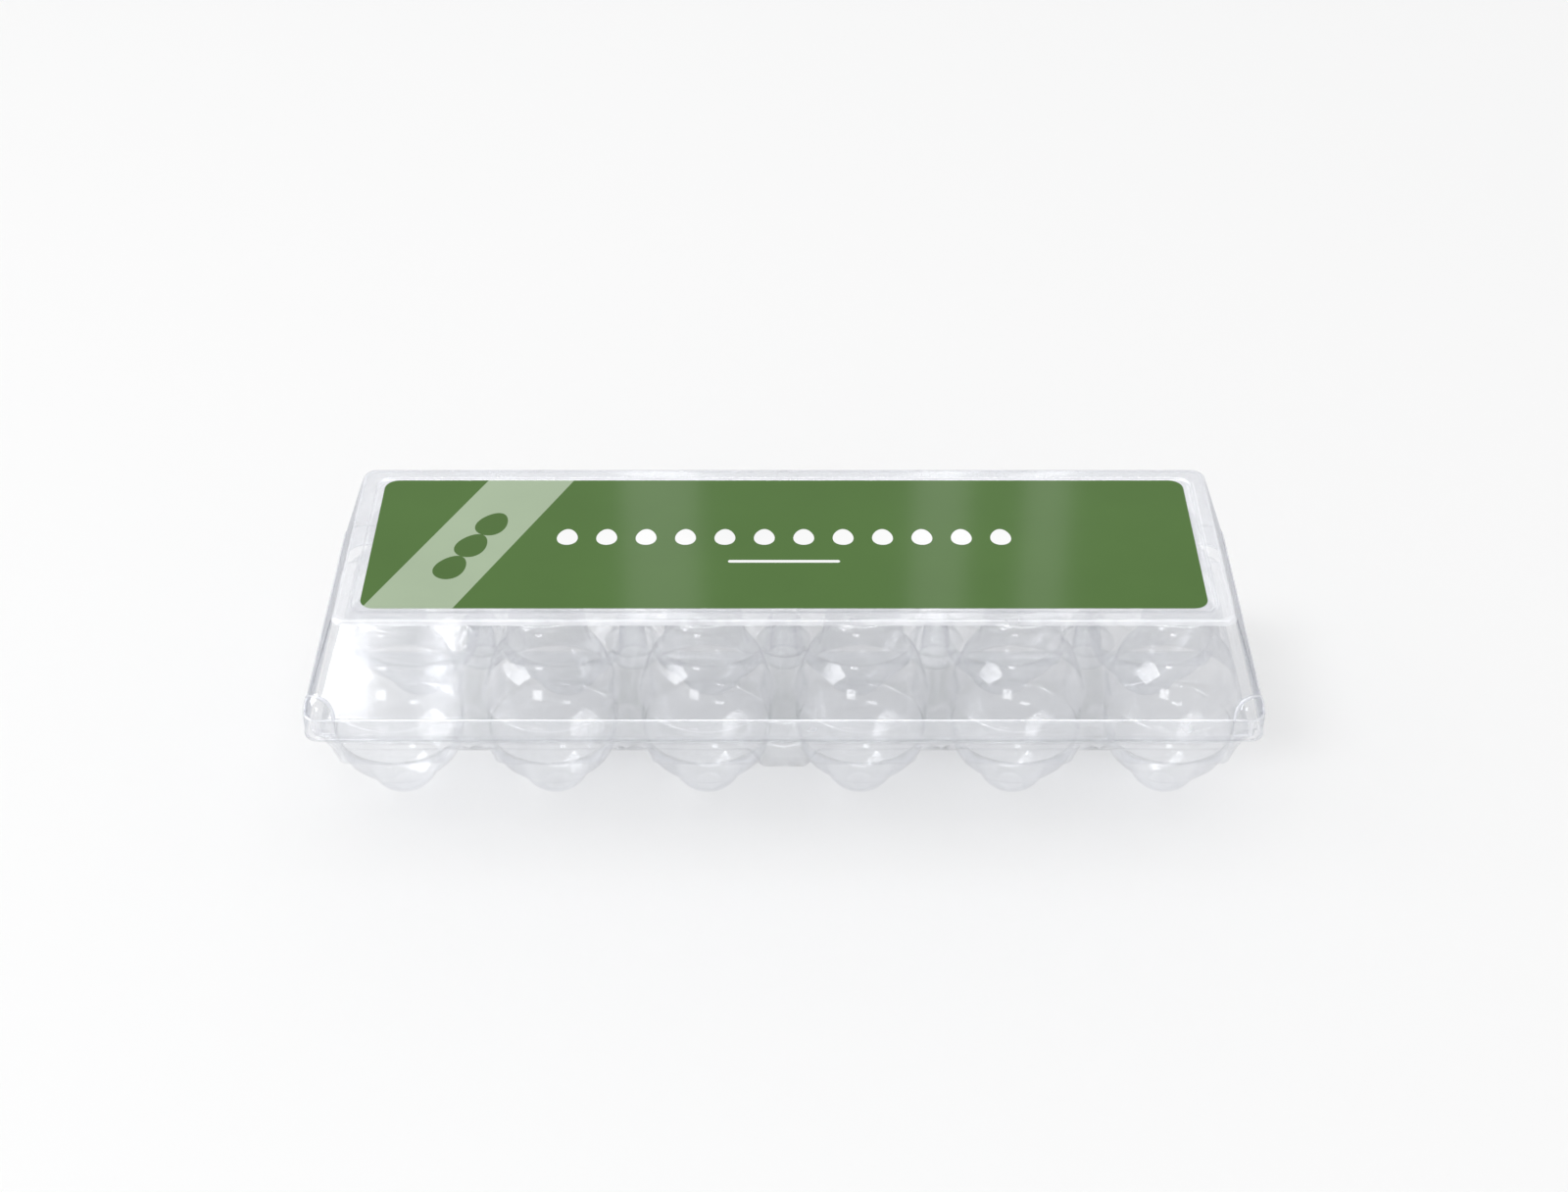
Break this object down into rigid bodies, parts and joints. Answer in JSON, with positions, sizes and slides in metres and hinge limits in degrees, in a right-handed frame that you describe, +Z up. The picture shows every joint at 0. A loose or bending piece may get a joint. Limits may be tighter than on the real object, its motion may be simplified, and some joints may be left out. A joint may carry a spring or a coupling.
{
  "type": "egg carton",
  "caption": "Clear hinged egg carton with a cupped tray, a domed inner cover and a flat-topped outer lid with a label.",
  "frame": {"origin": "under the middle of the tray, at the level of the cup bottoms", "axes": "+X right along the carton, -Y the front where the lid opens, +Z up"},
  "size_m": [0.3, 0.105, 0.079],
  "materials": {
    "tray": "clear formed PET sheet, faint grey tint",
    "cover": "clear formed PET sheet",
    "lid": "clear formed PET sheet, high gloss",
    "label": "printed film, satin"
  },
  "bodies": {
    "tray": {"cup_front_1": "tray", "cup_front_2": "tray", "cup_front_3": "tray", "cup_front_4": "tray", "cup_front_5": "tray", "cup_front_6": "tray", "cup_rear_1": "tray", "cup_rear_2": "tray", "cup_rear_3": "tray", "cup_rear_4": "tray", "cup_rear_5": "tray", "cup_rear_6": "tray", "tray_web": "tray", "tray_band": "tray", "tray_flange": "tray", "front_bridge": "tray", "rear_bridge": "tray", "support_posts": "tray", "front_hinge": "tray", "rear_hinge": "tray"},
    "inner_cover": {"dome_front_1": "cover", "dome_front_2": "cover", "dome_front_3": "cover", "dome_front_4": "cover", "dome_front_5": "cover", "dome_front_6": "cover", "dome_rear_1": "cover", "dome_rear_2": "cover", "dome_rear_3": "cover", "dome_rear_4": "cover", "dome_rear_5": "cover", "dome_rear_6": "cover", "cover_deck": "cover", "post_caps": "cover"},
    "lid": {"lid_front_wall": "lid", "lid_rear_wall": "lid", "lid_left_wall": "lid", "lid_right_wall": "lid", "lid_skirt": "lid", "lid_lip": "lid", "lid_rim": "lid", "lid_panel": "lid", "left_corner_boss": "lid", "right_corner_boss": "lid", "left_snap_dimple": "lid", "right_snap_dimple": "lid", "label": "label"}
  },
  "joints": [
    {"name": "lid_hinge", "type": "hinge", "parent": "tray", "child": "lid", "pos_m": [0, 0.0525, 0.0392], "axis": [-1, 0, 0], "range_deg": [0, 168]},
    {"name": "cover_hinge", "type": "hinge", "parent": "tray", "child": "inner_cover", "pos_m": [0, -0.0515, 0.0386], "axis": [-1, 0, 0], "range_deg": [-75.6, 0]}
  ],
  "couplings": [
    {"joint": "cover_hinge", "follows": "lid_hinge", "ratio": -0.45}
  ]
}
